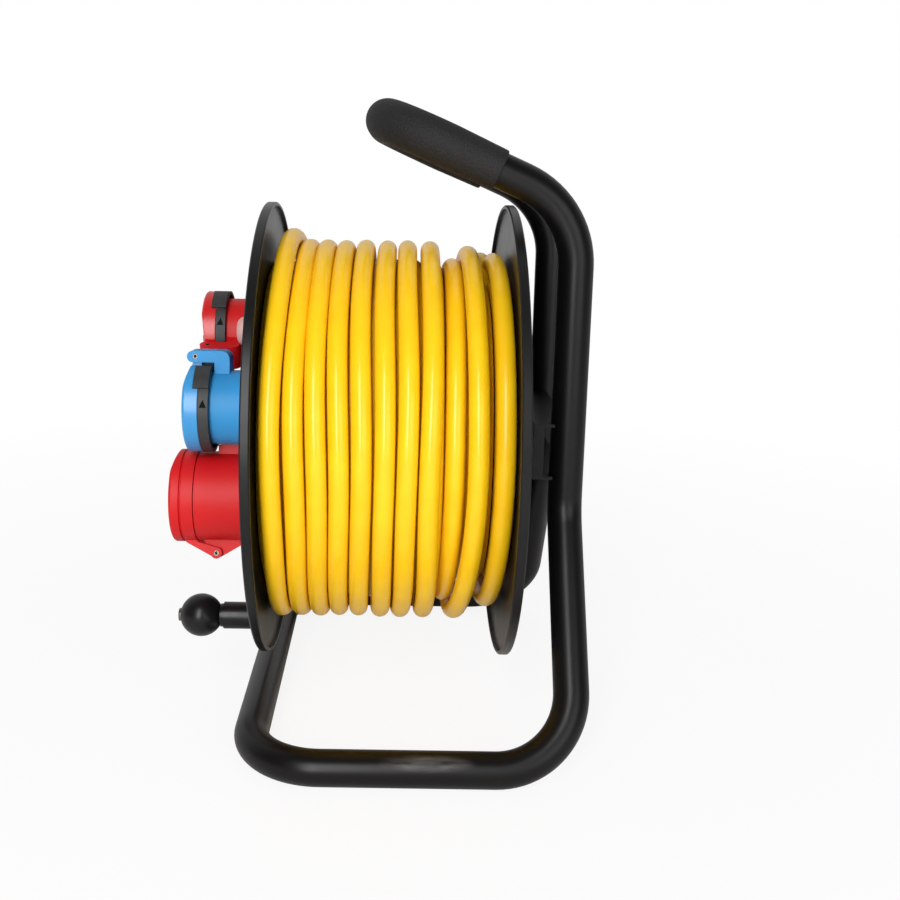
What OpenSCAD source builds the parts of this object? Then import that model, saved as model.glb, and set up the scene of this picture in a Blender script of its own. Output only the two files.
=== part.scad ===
// Extension cord reel: a cable drum on a bent tube stand, with three lidded sockets and a crank knob.
// Millimetres, Z up, X along the axle with the sockets at minus X. The origin is on the floor.

/* [Stand] */
// Outside diameter of the stand's tube
tube_d = 22; // [20:0.5:24]
// Wall of the tube
tube_wall = 1.5; // [1:0.1:2.5]
// Height of the axle above the floor
axle_h = 187; // [182:1:205]
// Uprights, centre to centre
upright_spread = 116; // [104:1:128]
// Skids, centre to centre
skid_spread = 289; // [270:1:310]
// From the uprights to the front bar, centre to centre
skid_length = 198; // [190:1:212]
// From the rear flange's outer face to the uprights' centres
upright_set = 33.5; // [31:0.5:38]
// How far below the axle the uprights start to splay
kink_drop = 40; // [34:1:48]
// Corner of upright and handle arm above the axle
shoulder_rise = 153; // [145:1:162]
// Handle's cross bar above the axle
handle_rise = 204; // [198:1:215]
// From the uprights forward to the handle's cross bar
handle_reach = 118; // [112:1:126]
// Bend radius at the handle's corners
handle_bend = 38; // [34:1:42]
// Bend radius at the shoulders
shoulder_bend = 56; // [50:1:60]
// Bend radius where the uprights splay
kink_bend = 40; // [34:1:60]
// Bend radius at the heels
heel_bend = 47; // [40:1:52]
// Bend radius at the toes
toe_bend = 46; // [38:1:52]

/* [Grip] */
// Diameter of the grip over the cross bar
grip_d = 27; // [26:0.5:30]
// Diameter of the grip at its two ends
grip_end_d = 25; // [24.5:0.5:26]
// Length of the grip along each arm, from the handle's corner
grip_arm = 76; // [70:1:82]

/* [Drum] */
// Width over both flanges
drum_w = 163; // [158:1:175]
// Diameter of the flanges
flange_d = 304; // [296:1:312]
// Thickness of the flanges
flange_t = 3.6; // [3:0.1:4.5]
// Outside diameter of the core that the cable is wound on
core_d = 180; // [179:0.5:184]
// Wall of the core
core_wall = 3; // [2:0.1:3.4]
// Screws that hold the rear flange
drum_screws_n = 6; // [4:1:8]

/* [Axle] */
// Diameter of the axle
axle_d = 20; // [18:0.5:22]
// Wall of the bushes
bush_wall = 4; // [3:0.5:5]
// Wall of the hub round the bushes
hub_wall = 4; // [3:0.5:6]
// Length of the hub in front of the drum's middle
hub_front = 20; // [14:1:26]
// Height of the bracket between the uprights
bracket_h = 36; // [30:1:44]
// Thickness of the bracket's web
bracket_t = 6.5; // [5.5:0.5:7.5]
// Thickness of the bracket's two lips
bracket_lip_t = 2; // [1.5:0.5:3]
// From the rear flange's outer face to the bracket's web
bracket_set = 11.5; // [10:0.5:13]

/* [Cable] */
// Diameter of the cable
cable_d = 12.4; // [11:0.1:12.6]
// Tight turns in the outer layer
outer_turns = 8; // [6:1:8]
// From one tight turn to the next
turn_pitch = 13.2; // [12.8:0.1:13.4]
// Lift of the first turn, which rides up beside the front flange
first_turn_lift = 7; // [0:0.5:8]

/* [Sockets] */
// From the axle to the centre of each socket
socket_r = 64; // [63.5:0.1:64.6]
// Outside diameter of the collar on the two sockets with a ring
ring_collar_d = 47; // [46:0.2:48]
// Height of that collar above the flange
ring_collar_h = 30; // [28:0.5:33]
// Outside diameter of the collar on the plain socket
plain_collar_d = 57.4; // [56:0.2:60]
// Height of that collar above the flange
plain_collar_h = 39; // [36:0.5:42]
// Wall of the collars at their mouth
collar_wall = 2.6; // [2.2:0.1:3]
// Depth of the mouth in front of the contact insert
mouth_depth = 8; // [7:0.5:10]
// Bore of the contact sleeves
contact_bore = 4.8; // [4:0.1:5.2]
// Diameter of the lids' hinge pins
hinge_pin_d = 3.2; // [2.6:0.1:3.6]
// Height of the lids over the ringed sockets
ring_lid_h = 13.6; // [12:0.1:14]
// Height of the lid over the plain socket
plain_lid_h = 15.2; // [14.5:0.1:17]

/* [Crank] */
// From the flange's rim in to the crank's pin
crank_inset = 23; // [20:0.5:28]
// Diameter of the knob's ball
knob_d = 28.6; // [26:0.2:30]
// Diameter of the stem
stem_d = 18; // [16:0.5:20]
// Height of the ball's centre above the flange
knob_h = 42.3; // [40:0.1:46]
// Diameter of the knob's screw
knob_screw_d = 6; // [5:0.5:7]

/* [Cut-out] */
// From the axle to the reset button
reset_r = 77.4; // [76:0.2:77.8]
// Diameter of the button's cap
reset_d = 18.4; // [17:0.2:19]
// Travel of the button
reset_travel = 2.5; // [2:0.1:3]

/* [Clearances] */
// Between pieces that are seated in each other
fit = 0.1; // [0.05:0.01:0.2]
// Radial clearance of running shafts
run = 0.05; // [0.03:0.01:0.1]
// Between faces that move past each other
gap = 0.3; // [0.3:0.05:0.5]

/* [Hidden] */
$fn = 64;

paint = [0.07, 0.07, 0.075];
moulded_black = [0.10, 0.10, 0.105];
grip_black = [0.13, 0.13, 0.13];
bayonet_grey = [0.16, 0.16, 0.17];
steel = [0.72, 0.72, 0.74];
brass = [0.78, 0.62, 0.30];
socket_red = [0.80, 0.08, 0.10];
socket_blue = [0.18, 0.48, 0.80];
cable_yellow = [0.97, 0.76, 0.05];
rubber = [0.08, 0.08, 0.08];
cap_white = [0.90, 0.82, 0.80];
nylon = [0.88, 0.87, 0.82];

// Stand
tube_r = tube_d / 2;
half_w = drum_w / 2;
inner_w = half_w - flange_t;
flange_r = flange_d / 2;
core_r = core_d / 2;
knob_r = knob_d / 2;
knob_screw_r = knob_screw_d / 2;
screw_head_h = 2.8;
screw_head_sink = 1.4;
rim_lip = 2.4;
rim_lip_t = 2.4;
rim_bevel = 0.8;
knob_flat = 0.5;
front_reach = half_w + knob_h + knob_r - knob_flat + screw_head_h - screw_head_sink;
rear_reach = half_w + upright_set + tube_r;
// The axle's middle lies so that the whole reel is centred over the origin
axle_x = (front_reach - rear_reach) / 2;
upright_x = axle_x + half_w + upright_set;
front_bar_x = upright_x - skid_length;
handle_x = upright_x - handle_reach;
upright_y = upright_spread / 2;
skid_y = skid_spread / 2;
handle_z = axle_h + handle_rise;
shoulder_z = axle_h + shoulder_rise;
kink_z = axle_h - kink_drop;
// Corners of the closed loop of tube, down the near side and back up the far side
loop = [
  [handle_x, -upright_y, handle_z],
  [upright_x, -upright_y, shoulder_z],
  [upright_x, -upright_y, kink_z],
  [upright_x, -skid_y, tube_r],
  [front_bar_x, -skid_y, tube_r],
  [front_bar_x, skid_y, tube_r],
  [upright_x, skid_y, tube_r],
  [upright_x, upright_y, kink_z],
  [upright_x, upright_y, shoulder_z],
  [handle_x, upright_y, handle_z]
];
loop_bends = [
  handle_bend, shoulder_bend, kink_bend, heel_bend, toe_bend,
  toe_bend, heel_bend, kink_bend, shoulder_bend, handle_bend
];

// How much thinner the tube's wall is on each side in a bend, and how far the straights lap over it
bend_thin = 0.04;
grip_thin = 0.12;
bend_lap = 0.5;
vent_r = 2;

// Axle and hub
axle_r = axle_d / 2;
bush_r = axle_r + run + bush_wall;
hub_r = bush_r + fit + hub_wall;
bush_flange_t = 3;
bush_flange_r = hub_r + 2;
bush_len = 25;
rib_t = 3;
rib_n = 6;
rib_len = 58;
thread_r = axle_r - 2;
washer_t = 3;
nut_h = 12;
shoulder_x = hub_front + bush_flange_t + gap;
bracket_x = half_w + bracket_set;
bracket_y = upright_y + 6;
drum_screw_r = 2;
drum_boss_r = 5;
drum_boss_len = 20;
boss_circle = core_r - core_wall - drum_boss_r - 1.5;

// Cable
layer_pitch = cable_d + 0.2;
layers = 3;
winding_fit = 0.3;
first_layer = core_r + winding_fit + cable_d / 2;
outer_layer = first_layer + (layers - 1) * layer_pitch;
first_turn_x = -inner_w + cable_d / 2 + 6.8;
last_tight_x = first_turn_x + (outer_turns - 1) * turn_pitch;
// The last three turns lie loose: how far past the tight ones, and how far below the outer layer
loose_steps = [14, 24.5, 42];
loose_drops = [12.6, 2.9, 7.4];

// Sockets: where round the axle, and which way the hinge points, both from the far side upwards
far_red_at = 77.7;
blue_at = 156.9;
far_red_hinge = 200;
blue_hinge = 86;
near_red_hinge = 258;
// Where the first thumb block stands on each ring, from the hinge
far_red_block = 79;
blue_block = -43;
// Contacts, and the circle that they stand on
red_ways = 5;
blue_ways = 3;
far_circle = 9;
blue_circle = 8;
near_circle = 12.5;
ring_collar_r = ring_collar_d / 2;
plain_collar_r = plain_collar_d / 2;
groove_step = 0.6;
ring_groove_w = 5.4;
plain_groove_w = 7;
panel_t = 4;
panel_lip = 3.5;
panel_lip_plain = 2;
corner_r = 5;
back_h = 32;
back_cap = 4;
back_wall = 2.2;
pin_r = hinge_pin_d / 2;
barrel_r = pin_r + 2;
rivet_wall = 0.6;
rivet_depth = 5;
ear_t = 3;
barrel_half = 5;
ear_in = barrel_half + gap;
ear_out = ear_in + ear_t;
// Bayonet ring and the lid that it turns on
ring_seat_r = ring_collar_r + 2.5;
ring_bore_r = ring_seat_r + gap;
ring_out_r = ring_bore_r + 2.2;
ring_h = 6.4;
ring_shoulder = 4;
ring_top = ring_collar_h + ring_shoulder;
ring_lid_top = ring_collar_h + gap + ring_lid_h;
ring_pin_x = ring_out_r + barrel_r + 0.6;
ring_pin_z = ring_top + 4.4;
ear_round = 3.5;
ear_rise = 5.2;
lid_flat = 5.9;
// The lid's outer face falls away beside the hinge
lid_slant_x = 15;
lid_slant = 14;
ring_blocks = 2;
block_arc = 34;
block_rise = 1.8;
block_lap = 3.2;
arrow_turn = 36;
// The plain socket's place leaves room for its lid beside the blue socket's ring
lid_room = 2.59;
near_red_at = blue_at + 2 * asin((ring_out_r + plain_collar_r + lid_room) / (2 * socket_r));
plain_pin_x = plain_collar_r + 7.8;
plain_pin_z = plain_collar_h - 12;
gusset_rise = 9.5;
ridge_rise = 4.5;
ridge_w = 18;
ridge_len = 22;
plain_lid_top = plain_collar_h + gap + plain_lid_h;
plain_facet_x = 16;
plain_facet = 14;
seal_t = 2;
contact_wall = 0.8;
contact_r = contact_bore / 2 + contact_wall;
contact_sink = 1;
socket_screw_r = 1.9;
socket_screw_head = 3.2;

// Cut-out
reset_at = 115;
reset_stem_r = 5;
bezel_h = 4;
cutout_r = 8;
cutout_len = 30;
reset_cap_h = 9.6;
cap_round = 4.6;

// Crank
crank_at = 251;
crank_r = flange_r - crank_inset;
knob_gap_z = knob_h - knob_r + 1.2;

// Cable gland and terminal block
gland_at = -30;
gland_x = -inner_w + 14;
gland_bore = cable_d / 2 + fit;
gland_r = gland_bore + 3;
gland_nut_r = gland_r + 3;
gland_nut_h = 5;
block_size = [26, 40, 22];
block_r = 28;

// Free end of the cable: points chosen along its way from the winding down to the plug on the floor
tail_route = [
  [69.5, 63, 296.2], [69.5, 81, 283.6], [69.5, 96.6, 268.1], [69.5, 114.6, 246.6], [70, 132, 222],
  [72, 149, 195], [76, 165, 168], [81, 178, 141], [85, 189, 113], [86, 198, 85],
  [82, 205, 58], [72, 208, 34], [57, 208, 19], [37, 206, 11.5], [14, 204, 11.4]
];
tail_sides = 10;
plug_at = tail_route[len(tail_route) - 1];
plug_nut_r = 11.5;
plug_nut_h = 20;
plug_grip_r = 17;
plug_shoulder_r = 26;
plug_ring_r = 31;
plug_ring_z = 85;
plug_ring_h = 15;
plug_shroud_r = 25;
plug_shroud_h = 30;
plug_wall = 2.6;
plug_tilt = atan((plug_ring_r - plug_nut_r) / plug_ring_z);

function unit(v) = v / norm(v);
// Angles that turn the X and Z axes onto the directions x and z
function aim(x, y, z) = [atan2(y[2], z[2]), asin(-x[2]), atan2(x[1], x[0])];
function wrap(i) = (i + len(loop)) % len(loop);
function run_in(i) = unit(loop[i] - loop[wrap(i - 1)]);
function run_out(i) = unit(loop[wrap(i + 1)] - loop[i]);
function bend_angle(i) = acos(run_in(i) * run_out(i));
function bend_cut(i) = loop_bends[i] * tan(bend_angle(i) / 2);
function bend_inward(i) = unit(run_out(i) - (run_in(i) * run_out(i)) * run_in(i));
function bend_start(i) = loop[i] - bend_cut(i) * run_in(i);
function bend_end(i) = loop[i] + bend_cut(i) * run_out(i);

// A child drawn along Z, laid from the point p towards q
module laid(p, q) {
  d = unit(q - p);
  translate(p)
    rotate([0, acos(d[2]), atan2(d[1], d[0])])
      children();
}

module pipe_section(outside, inside) {
  difference() {
    circle(d = outside);
    circle(d = inside);
  }
}

// The bend at corner i of the loop, with a pipe's section that bending has drawn a little thinner
module pipe_bend(i, outside, inside, thin = bend_thin) {
  x = -bend_inward(i);
  y = run_in(i);
  translate(bend_start(i) - loop_bends[i] * x)
    rotate(aim(x, y, cross(x, y)))
      rotate_extrude(angle = bend_angle(i))
        translate([loop_bends[i], 0])
          pipe_section(outside - 2 * thin, inside + 2 * thin);
}

// The straight pipe from corner i to the next
module pipe_run(i, outside, inside) {
  p = bend_end(i);
  q = bend_start(wrap(i + 1));
  laid(p, q)
    translate([0, 0, -bend_lap])
      linear_extrude(norm(q - p) + 2 * bend_lap)
        pipe_section(outside, inside);
}

// Round pieces of the drum: local Z runs along the axle to the rear
module on_axle() {
  translate([axle_x, 0, axle_h])
    rotate([0, 90, 0])
      children();
}

// A place on the front flange: local Z stands out of it, local X points along the angle turned
module on_front(radius, at, turned = 0) {
  translate([axle_x - half_w, radius * cos(at), axle_h + radius * sin(at)])
    rotate([0, -90, 0])
      rotate([0, 0, 90 - turned])
        children();
}

module disc_ring(outer, inner, h) {
  difference() {
    cylinder(h = h, r = outer);
    translate([0, 0, -1])
      cylinder(h = h + 2, r = inner);
  }
}

module rounded_square(half, r) {
  square([2 * half, 2 * (half - r)], center = true);
  square([2 * (half - r), 2 * half], center = true);
  for (sx = [-1, 1], sy = [-1, 1])
    translate([sx * (half - r), sy * (half - r)])
      circle(r = r);
}

// Stand

// One closed loop, with a vent hole behind the bracket
module frame_tube() {
  color(paint)
    difference() {
      for (i = [0 : len(loop) - 1]) {
        pipe_bend(i, tube_d, tube_d - 2 * tube_wall);
        pipe_run(i, tube_d, tube_d - 2 * tube_wall);
      }
      translate([upright_x - tube_d, -upright_y, axle_h])
        rotate([0, 90, 0])
          cylinder(h = tube_d, r = vent_r);
    }
}

module handle_grip() {
  bore = tube_d + 2 * fit;
  last = len(loop) - 1;
  arm = grip_arm - bend_cut(0);
  color(grip_black) {
    pipe_bend(0, grip_d, bore, grip_thin);
    pipe_bend(last, grip_d, bore, grip_thin);
    pipe_run(last, grip_d, bore);
    for (ends = [[bend_end(0), loop[1]], [bend_start(last), loop[last - 1]]])
      laid(ends[0], ends[1])
        rotate_extrude()
          polygon([
            [bore / 2, -bend_lap], [grip_d / 2, -bend_lap], [grip_d / 2, 4],
            [grip_end_d / 2 + 0.2, arm - 1], [grip_end_d / 2 - 0.4, arm], [bore / 2, arm]
          ]);
  }
}

// Channel with a thick web, open to the rear and coped round the uprights
module axle_bracket() {
  depth = upright_set - bracket_set;
  color(paint)
    difference() {
      translate([axle_x + bracket_x, -bracket_y, axle_h - bracket_h / 2])
        difference() {
          cube([depth, 2 * bracket_y, bracket_h]);
          translate([bracket_t, -1, bracket_lip_t])
            cube([depth, 2 * bracket_y + 2, bracket_h - 2 * bracket_lip_t]);
        }
      for (side = [-1, 1])
        translate([upright_x, side * upright_y, axle_h - bracket_h])
          cylinder(h = 2 * bracket_h, r = tube_r + fit);
      on_axle()
        translate([0, 0, bracket_x - 1])
          cylinder(h = bracket_t + 2, r = axle_r + fit);
    }
}

module axle() {
  color(steel)
    on_axle() {
      translate([0, 0, -shoulder_x])
        cylinder(h = shoulder_x + bracket_x + bracket_t, r = axle_r);
      translate([0, 0, -shoulder_x - washer_t - nut_h - 2])
        cylinder(h = washer_t + nut_h + 3, r = thread_r);
      translate([0, 0, half_w + bush_flange_t + gap])
        cylinder(h = bracket_set - bush_flange_t - gap, r = bush_flange_r - 3);
    }
}

module axle_washer() {
  color(steel)
    on_axle()
      translate([0, 0, -shoulder_x - washer_t])
        disc_ring(hub_r, thread_r + fit, washer_t);
}

module axle_nut() {
  color(steel)
    on_axle()
      translate([0, 0, -shoulder_x - washer_t - nut_h])
        difference() {
          cylinder(h = nut_h, r = thread_r * 1.7, $fn = 6);
          translate([0, 0, -1])
            cylinder(h = nut_h + 2, r = thread_r + fit);
        }
}

// Drum

// Half section of a flange's disc as radius against distance, with a lip round its rim
module flange_section() {
  rim = flange_t + rim_lip;
  polygon([
    [0, 0], [flange_r - rim_bevel, 0], [flange_r, rim_bevel], [flange_r, rim - rim_bevel],
    [flange_r - rim_bevel, rim], [flange_r - rim_lip_t, rim], [flange_r - rim_lip_t, flange_t], [0, flange_t]
  ]);
}

// Narrow slit below the rim, at the bottom of a flange
module rim_slit(length) {
  translate([flange_r - 4 - length, -0.6, -1])
    cube([length, 1.2, flange_t + 2]);
}

// Front flange and core, one moulding
module drum_front() {
  color(moulded_black)
    difference() {
      union() {
        on_axle() {
          translate([0, 0, -half_w])
            difference() {
              rotate_extrude()
                flange_section();
              rim_slit(20);
            }
          translate([0, 0, -inner_w - flange_t / 2])
            disc_ring(core_r, core_r - core_wall, 2 * inner_w + flange_t / 2);
          for (i = [0 : drum_screws_n - 1])
            rotate([0, 0, i * 360 / drum_screws_n])
              translate([boss_circle, 0, inner_w - drum_boss_len]) {
                cylinder(h = drum_boss_len, r = drum_boss_r);
                translate([0, -drum_boss_r + 1, 0])
                  cube([core_r - core_wall / 2 - boss_circle, 2 * drum_boss_r - 2, drum_boss_len]);
              }
        }
      }
      on_axle()
        for (i = [0 : drum_screws_n - 1])
          rotate([0, 0, i * 360 / drum_screws_n])
            translate([boss_circle, 0, inner_w - drum_boss_len - 1])
              cylinder(h = drum_boss_len + 2, r = drum_screw_r + fit);
      socket_holes();
      on_front(reset_r, reset_at)
        translate([0, 0, -flange_t - 1])
          cylinder(h = flange_t + 2, r = reset_stem_r + 1 + fit);
      on_front(crank_r, crank_at)
        translate([0, 0, -1.8])
          cylinder(h = 4, r = knob_screw_r + fit);
      gland_place()
        cylinder(h = core_wall * 4, r = gland_r + fit, center = true);
    }
}

module socket_holes() {
  for (s = [[far_red_at, ring_collar_r], [blue_at, ring_collar_r], [near_red_at, plain_collar_r]])
    on_front(socket_r, s[0]) {
      translate([0, 0, -flange_t - 1])
        cylinder(h = flange_t + 2, r = back_r(s[1]) + fit);
      panel_corners(s[1])
        translate([0, 0, -flange_t - 1])
          cylinder(h = flange_t + 2, r = socket_screw_r + fit);
    }
}

// Rear flange with the hub and its ribs, the second moulding
module drum_rear() {
  color(moulded_black)
    on_axle()
      difference() {
        union() {
          translate([0, 0, half_w])
            mirror([0, 0, 1])
              rotate_extrude()
                flange_section();
          translate([0, 0, -hub_front])
            cylinder(h = hub_front + inner_w + 1, r = hub_r);
          for (i = [0 : rib_n - 1])
            rotate([0, 0, (i + 0.5) * 360 / rib_n])
              translate([hub_r - 1, -rib_t / 2, inner_w - rib_len])
                cube([core_r - core_wall - fit - hub_r, rib_t, rib_len + 1]);
        }
        translate([0, 0, -hub_front - 1])
          cylinder(h = drum_w, r = bush_r + fit);
        translate([0, 0, inner_w])
          rim_slit(14);
        for (i = [0 : drum_screws_n - 1])
          rotate([0, 0, i * 360 / drum_screws_n])
            translate([boss_circle, 0, inner_w - 1])
              cylinder(h = flange_t + 2, r = drum_screw_r + fit);
      }
}

module hub_bushes() {
  color(nylon)
    on_axle() {
      translate([0, 0, -hub_front - bush_flange_t]) {
        disc_ring(bush_flange_r, axle_r + run, bush_flange_t);
        disc_ring(bush_r, axle_r + run, bush_flange_t + bush_len);
      }
      translate([0, 0, half_w])
        disc_ring(bush_flange_r, axle_r + run, bush_flange_t);
      translate([0, 0, half_w - bush_len])
        disc_ring(bush_r, axle_r + run, bush_len + 1);
    }
}

module drum_screws() {
  color(steel)
    on_axle()
      for (i = [0 : drum_screws_n - 1])
        rotate([0, 0, i * 360 / drum_screws_n])
          translate([boss_circle, 0, 0]) {
            translate([0, 0, half_w])
              cylinder(h = 2.4, r = drum_screw_r * 2);
            translate([0, 0, half_w - flange_t - drum_boss_len + 2])
              cylinder(h = flange_t + drum_boss_len - 1, r = drum_screw_r);
          }
}

// Local Z points from the gland's hole in the core's wall to the axle
module gland_place() {
  r = core_r - core_wall / 2;
  translate([axle_x + gland_x, r * cos(gland_at), axle_h + r * sin(gland_at)])
    rotate([gland_at - 90, 0, 0])
      rotate([180, 0, 0])
        children();
}

module cable_gland() {
  seat = core_wall / 2 + 1 + gland_nut_r * gland_nut_r / core_d;
  color(moulded_black)
    gland_place() {
      translate([0, 0, 0.8 - core_wall / 2])
        disc_ring(gland_r, gland_bore, seat + gland_nut_h + 3);
      translate([0, 0, seat])
        difference() {
          cylinder(h = gland_nut_h, r = gland_nut_r, $fn = 6);
          translate([0, 0, -1])
            cylinder(h = gland_nut_h + 2, r = gland_bore);
        }
    }
}

module terminal_block() {
  color(nylon)
    translate([axle_x - inner_w, 0, axle_h])
      rotate([gland_at, 0, 0])
        difference() {
          translate([0, block_r, -block_size[1] / 2])
            cube([block_size[0], block_size[2], block_size[1]]);
          for (i = [-2 : 2])
            translate([block_size[0] - 8, block_r + block_size[2] / 2, i * 7.2])
              rotate([0, 90, 0])
                cylinder(h = 10, r = 2.2);
        }
}

module cable_lead() {
  color(cable_yellow)
    gland_place()
      translate([0, 0, -core_wall / 2])
        cylinder(h = core_r - block_r - block_size[2], d = cable_d);
}

// The wound cable as one solid: the outer layer's turns as scallops on the layers below
module cable_winding() {
  color(cable_yellow)
    on_axle()
      rotate_extrude()
        difference() {
          union() {
            translate([first_layer - cable_d / 2, -inner_w + gap])
              square([outer_layer - layer_pitch - first_layer + cable_d / 2, 2 * (inner_w - gap)]);
            translate([first_layer, first_turn_x])
              square([outer_layer - first_layer, last_tight_x - first_turn_x]);
            for (i = [0 : outer_turns - 1])
              translate([outer_layer + (i == 0 ? first_turn_lift : 0), first_turn_x + i * turn_pitch])
                circle(d = cable_d);
            for (i = [0 : len(loose_steps) - 1])
              translate([outer_layer - loose_drops[i], last_tight_x + loose_steps[i]])
                circle(d = cable_d);
            translate([first_layer, first_turn_x - 4])
              square([outer_layer + first_turn_lift - first_layer, 8]);
            translate([first_layer, last_tight_x + loose_steps[1] - 4])
              square([outer_layer - loose_drops[1] - first_layer, 8]);
          }
          translate([0, inner_w - gap])
            square([flange_r, cable_d]);
        }
}

// Sockets

function mouth_r(collar) = collar - collar_wall;
function groove_w(collar) = collar == plain_collar_r ? plain_groove_w : ring_groove_w;
function insert_r(collar) = mouth_r(collar) - groove_step - groove_w(collar);
function back_r(collar) = insert_r(collar) + fit + back_wall;
function panel_half(collar) = collar + (collar == plain_collar_r ? panel_lip_plain : panel_lip);
function collar_h(collar) = collar == plain_collar_r ? plain_collar_h : ring_collar_h;

// The four corners of a panel, where its screws are
module panel_corners(collar) {
  inset = panel_half(collar) - corner_r;
  for (sx = [-1, 1], sy = [-1, 1])
    translate([sx * inset, sy * inset, 0])
      children();
}

// Panel, collar with its mouth and groove, and the barrel behind the flange. The hinge may point
// any way, but the panel's sides stay level.
module housing(collar, hinge) {
  rim = collar_h(collar);
  face = rim - mouth_depth;
  difference() {
    union() {
      rotate([0, 0, hinge - 90])
        linear_extrude(panel_t)
          rounded_square(panel_half(collar), corner_r);
      cylinder(h = rim, r = collar);
      translate([0, 0, -back_h])
        cylinder(h = back_h + 1, r = back_r(collar));
    }
    translate([0, 0, face])
      cylinder(h = mouth_depth + 1, r = mouth_r(collar));
    translate([0, 0, panel_t])
      cylinder(h = face, r = mouth_r(collar) - groove_step);
    translate([0, 0, -back_h - 1])
      cylinder(h = back_h + rim, r = insert_r(collar) + fit);
    rotate([0, 0, hinge - 90])
      panel_corners(collar)
        translate([0, 0, -1])
          cylinder(h = panel_t + 2, r = socket_screw_r + fit);
  }
}

module contact_places(count, circle_r) {
  for (i = [0 : count - 1])
    rotate([0, 0, i * 360 / count])
      translate([circle_r, 0, 0])
        children();
}

// Cylinder that carries the contact sleeves, seated behind the barrel by its flange
module insert(collar, count, circle_r) {
  face = collar_h(collar) - mouth_depth;
  difference() {
    union() {
      translate([0, 0, -back_h])
        cylinder(h = back_h + face, r = insert_r(collar));
      translate([0, 0, -back_h - back_cap])
        cylinder(h = back_cap, r = back_r(collar));
    }
    contact_places(count, circle_r)
      translate([0, 0, -back_h])
        cylinder(h = back_h + face + 1, r = contact_r + fit);
  }
}

module contacts(collar, count, circle_r) {
  face = collar_h(collar) - mouth_depth;
  contact_places(count, circle_r)
    translate([0, 0, -back_h])
      difference() {
        cylinder(h = back_h + face - contact_sink, r = contact_r);
        translate([0, 0, 8])
          cylinder(h = back_h + face, d = contact_bore);
      }
}

// Plate drawn in radius and height, standing across the hinge from y to y + t
module hinge_plate(y, t) {
  translate([0, y + t, 0])
    rotate([90, 0, 0])
      linear_extrude(t)
        children();
}

module hinge_bar(x, z, r, y, t) {
  translate([x, y, z])
    rotate([-90, 0, 0])
      cylinder(h = t, r = r);
}

// One of the two ears that hold the pin of a ringed socket's lid, outside the ring
module ring_ear_section() {
  inner = ring_out_r + 0.4;
  outer = ring_pin_x + barrel_r - 0.2;
  low = ring_collar_h - 13;
  top = ring_pin_z + ear_rise;
  translate([inner, low + corner_r])
    square([outer - inner, top - ear_round - low - corner_r]);
  for (x = [inner + ear_round, outer - ear_round])
    translate([x, top - ear_round])
      circle(r = ear_round);
  translate([inner + ear_round, ring_pin_z])
    square([outer - inner - 2 * ear_round, ear_rise]);
}

// The block under both ears, which joins them to the collar below the ring
module ring_lug_section() {
  outer = ring_pin_x + barrel_r - 0.2;
  low = ring_collar_h - 13;
  neck = ring_top - ring_h - 1;
  translate([mouth_r(ring_collar_r) + 1, low])
    square([outer - corner_r - mouth_r(ring_collar_r) - 1, neck - low]);
  translate([mouth_r(ring_collar_r) + 1, low + corner_r])
    square([outer - mouth_r(ring_collar_r) - 1, neck - low - corner_r]);
  translate([outer - corner_r, low + corner_r])
    circle(r = corner_r);
}

module ring_socket_housing(hinge) {
  difference() {
    union() {
      housing(ring_collar_r, hinge);
      hinge_plate(-ear_out, 2 * ear_out)
        ring_lug_section();
      for (y = [-ear_out, ear_in])
        hinge_plate(y, ear_t)
          ring_ear_section();
    }
    hinge_bar(ring_pin_x, ring_pin_z, pin_r + fit, -ear_out - 1, 2 * ear_out + 2);
  }
}

// Hollow rivet, sunk at both ends
module lid_pin(x, z) {
  difference() {
    hinge_bar(x, z, pin_r, -ear_out, 2 * ear_out);
    for (y = [-ear_out - 1, ear_out - rivet_depth])
      hinge_bar(x, z, pin_r - rivet_wall, y, rivet_depth + 1);
  }
}

module ring_socket_pin() {
  lid_pin(ring_pin_x, ring_pin_z);
}

module ring_socket_spring() {
  difference() {
    hinge_bar(ring_pin_x, ring_pin_z, pin_r + 1.2, -1.8, 3.6);
    hinge_bar(ring_pin_x, ring_pin_z, pin_r + fit, -3, 6);
  }
}

// Cap with a seat for the ring, a groove for the seal and two barrels on the pin. Its outer face
// falls away beside the hinge, and its edge is flat there to turn past the ears.
module ring_socket_lid() {
  base = ring_collar_h + gap;
  crown = ring_out_r - 0.2;
  difference() {
    union() {
      difference() {
        union() {
          difference() {
            rotate_extrude()
              polygon([
                [0, base], [ring_seat_r, base], [ring_seat_r, ring_top + gap], [crown, ring_top + gap],
                [crown, ring_lid_top - 1.6], [crown - 0.6, ring_lid_top - 0.6],
                [crown - 1.8, ring_lid_top], [0, ring_lid_top]
              ]);
            translate([ring_pin_x - lid_flat, -ear_out - 1, base])
              cube([lid_flat, 2 * ear_out + 2, ring_lid_h + 1]);
          }
          translate([0, -barrel_half, ring_top + gap + 0.5])
            cube([ring_pin_x, 2 * barrel_half, ring_lid_top - ring_top - gap]);
        }
        translate([lid_slant_x, 0, ring_lid_top])
          rotate([0, lid_slant, 0])
            translate([0, -crown - 1, 0])
              cube([2 * crown, 2 * crown + 2, ring_lid_h]);
      }
      hinge_bar(ring_pin_x, ring_pin_z, barrel_r, -barrel_half, 2 * barrel_half);
    }
    translate([0, 0, base - 1])
      cylinder(h = ring_lid_h - 3, r = mouth_r(ring_collar_r) - 1);
    translate([0, 0, base - 1])
      disc_ring(ring_collar_r + fit, mouth_r(ring_collar_r) - 0.5, seal_t + 1);
    hinge_bar(ring_pin_x, ring_pin_z, pin_r + run, -barrel_half - 1, 2 * barrel_half + 2);
    hinge_bar(ring_pin_x, ring_pin_z, barrel_r + 0.4, -2.2, 4.4);
  }
}

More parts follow.
